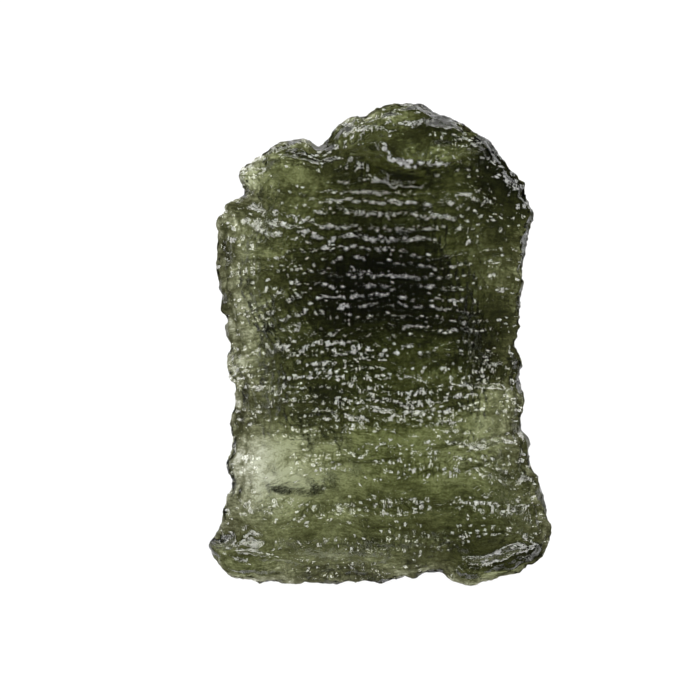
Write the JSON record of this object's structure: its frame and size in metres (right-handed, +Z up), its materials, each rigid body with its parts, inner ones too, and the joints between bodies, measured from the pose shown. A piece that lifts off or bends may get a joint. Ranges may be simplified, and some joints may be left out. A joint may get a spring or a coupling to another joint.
{
  "type": "moldavite",
  "caption": "Flat, raw piece of etched green natural glass with pitted rows on its faces and a ragged rim, lying on a small flat spot.",
  "frame": {"origin": "middle of the stone's box at its underside, on the plane of the resting spot", "axes": "+Z up and out of the front face, +Y along the stone's length towards its narrower upper end, +X to the right as seen from above"},
  "size_m": [0.023, 0.0322, 0.0083],
  "materials": {
    "moldavite_glass": "see-through bottle-green natural glass, etched surface with a soft gloss"
  },
  "bodies": {
    "root": {"moldavite": "moldavite_glass"}
  },
  "joints": []
}
